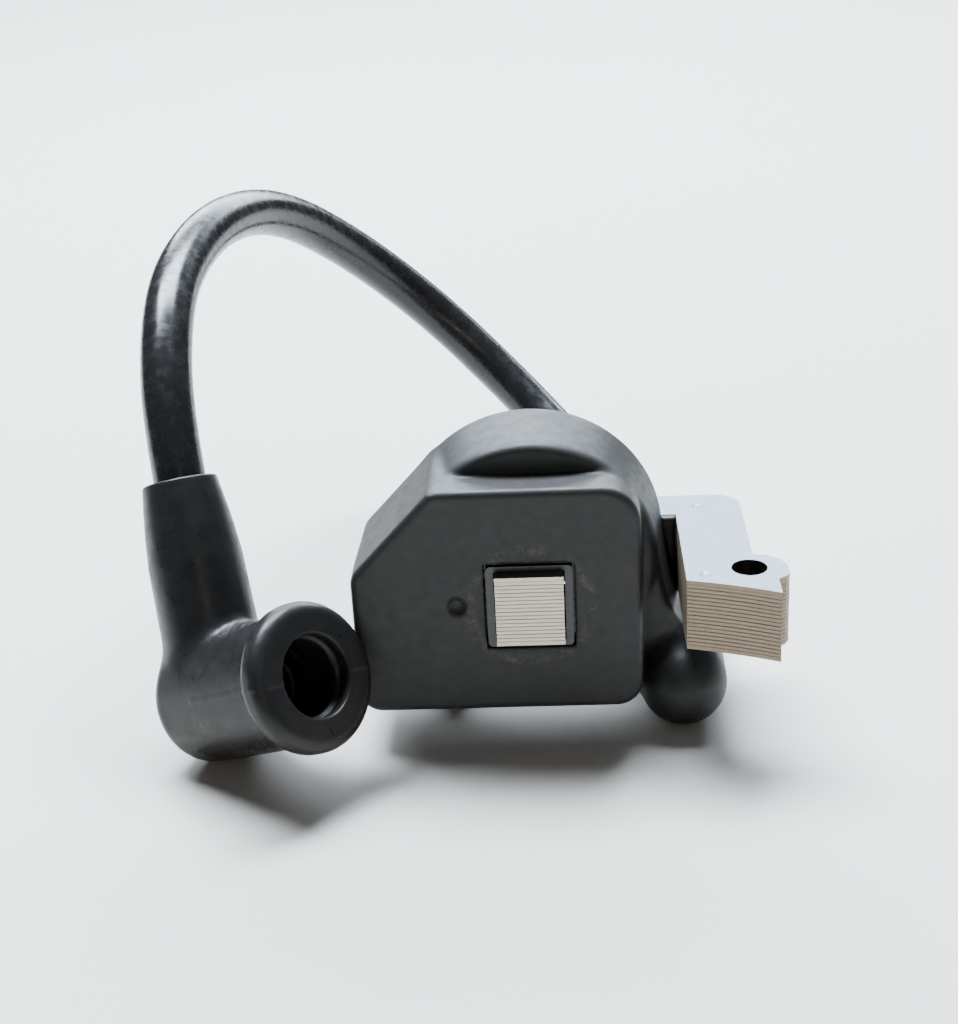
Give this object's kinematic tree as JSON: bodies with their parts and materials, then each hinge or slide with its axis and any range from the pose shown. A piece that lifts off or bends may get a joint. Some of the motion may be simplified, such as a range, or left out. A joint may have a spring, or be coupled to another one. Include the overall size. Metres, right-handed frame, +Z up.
{
  "type": "ignition coil",
  "caption": "Small-engine ignition coil: moulded coil on a laminated steel core, with a looped high-tension lead and a right-angled rubber plug boot.",
  "frame": {"origin": "middle of the centre pole face, the end of the core leg that carries the coil", "axes": "+X from the coil leg to the mounting leg, +Y from the pole faces to the yoke, +Z up along the stack of laminations"},
  "size_m": [0.0843, 0.1092, 0.0606],
  "materials": {
    "sheet_face": "satin",
    "sheet_edges": "cut edges",
    "housing_plastic": "satin moulded",
    "bobbin_plastic": "satin moulded",
    "copper_wire": "enamelled",
    "board": "matte",
    "component_black": "matte",
    "capacitor_orange": "glossy dip",
    "resistor_tan": "glossy",
    "tinned_metal": "tinned",
    "brass_contact": "turned",
    "resin": "cast, glossy",
    "seal_rubber": "matte",
    "lead_jacket": "smooth, glossy",
    "boot_rubber": "satin moulded"
  },
  "bodies": {
    "coil": {"core_top_sheet": "sheet_face", "core_stack": "sheet_edges", "core_bottom_sheet": "sheet_face", "coil_housing": "housing_plastic", "core_tube": "bobbin_plastic", "primary_winding": "copper_wire", "secondary_bobbin": "bobbin_plastic", "secondary_winding": "copper_wire", "circuit_board": "board", "switching_transistor": "component_black", "control_chip": "component_black", "filter_capacitor": "capacitor_orange", "zener_diode": "component_black", "resistors": "resistor_tan", "primary_wires": "copper_wire", "ground_tab": "tinned_metal", "stop_terminal": "tinned_metal", "ht_jumper": "copper_wire", "ht_spike": "brass_contact", "potting_resin": "resin", "lead_seal": "seal_rubber", "ht_lead_jacket": "lead_jacket", "ht_lead_strands": "copper_wire"},
    "boot": {"plug_boot": "boot_rubber", "plug_clip": "tinned_metal"}
  },
  "joints": [
    {"name": "boot_swivel", "type": "hinge", "parent": "coil", "child": "boot", "pos_m": [-0.0406, 0.0022, -0.0121], "axis": [-0.1829, 0.4508, 0.8737], "range_deg": [-105, 0]}
  ]
}
